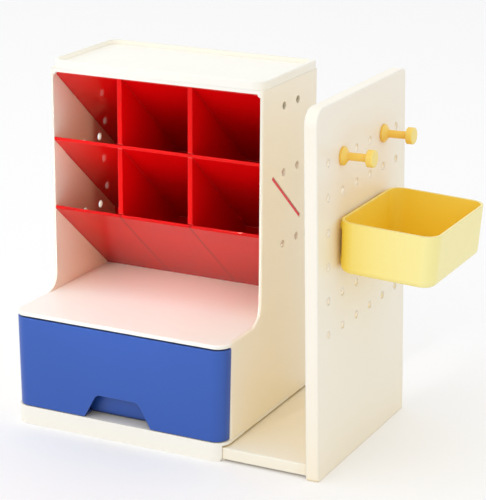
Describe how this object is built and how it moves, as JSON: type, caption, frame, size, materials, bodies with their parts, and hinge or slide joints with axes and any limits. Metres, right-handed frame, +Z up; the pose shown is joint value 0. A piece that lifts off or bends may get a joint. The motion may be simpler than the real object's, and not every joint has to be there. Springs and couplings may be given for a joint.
{
  "type": "pegboard desk organizer",
  "caption": "Desk organizer with a pull-out drawer, slanted pen cells, a top tray and a sliding pegboard bookend that carries peg hooks and a bin.",
  "frame": {"origin": "centre of the cabinet base's underside, on the table", "axes": "+X to the right, towards the pegboard bookend; +Y to the back; +Z up"},
  "size_m": [0.3281, 0.1625, 0.273],
  "materials": {
    "cream_plastic": "satin",
    "red_plastic": "gloss",
    "blue_plastic": "satin",
    "yellow_plastic": "satin"
  },
  "bodies": {
    "cabinet": {"base_shell": "cream_plastic", "base_floor": "cream_plastic", "side_panel_left": "cream_plastic", "side_panel_right": "cream_plastic", "back_panel": "cream_plastic", "deck": "cream_plastic", "top_panel": "cream_plastic", "top_tray": "cream_plastic", "pen_plate_top": "red_plastic", "pen_plate_middle": "red_plastic", "pen_plate_bottom": "red_plastic", "pen_divider_upper_left": "red_plastic", "pen_divider_upper_right": "red_plastic", "pen_divider_lower_left": "red_plastic", "pen_divider_lower_right": "red_plastic"},
    "drawer": {"drawer_front": "blue_plastic", "drawer_box": "blue_plastic"},
    "bookend": {"pegboard_panel": "cream_plastic", "foot_plate": "cream_plastic"},
    "hook_front": {"peg_hook_front": "yellow_plastic"},
    "hook_rear": {"peg_hook_rear": "yellow_plastic"},
    "bin": {"storage_bin": "yellow_plastic"}
  },
  "joints": [
    {"name": "drawer_slide", "type": "slide", "parent": "cabinet", "child": "drawer", "axis": [0, -1, 0], "range_m": [0, 0.12]},
    {"name": "bookend_slide", "type": "slide", "parent": "cabinet", "child": "bookend", "axis": [1, 0, 0], "range_m": [-0.059, 0.06]},
    {"name": "hook_front_pull", "type": "slide", "parent": "bookend", "child": "hook_front", "axis": [0.9997, 0, 0.0227], "range_m": [0, 0.012]},
    {"name": "hook_rear_pull", "type": "slide", "parent": "bookend", "child": "hook_rear", "axis": [0.9997, 0, 0.0227], "range_m": [0, 0.012]},
    {"name": "bin_pull", "type": "slide", "parent": "bookend", "child": "bin", "axis": [0.9997, 0, 0.0227], "range_m": [0, 0.012]}
  ]
}
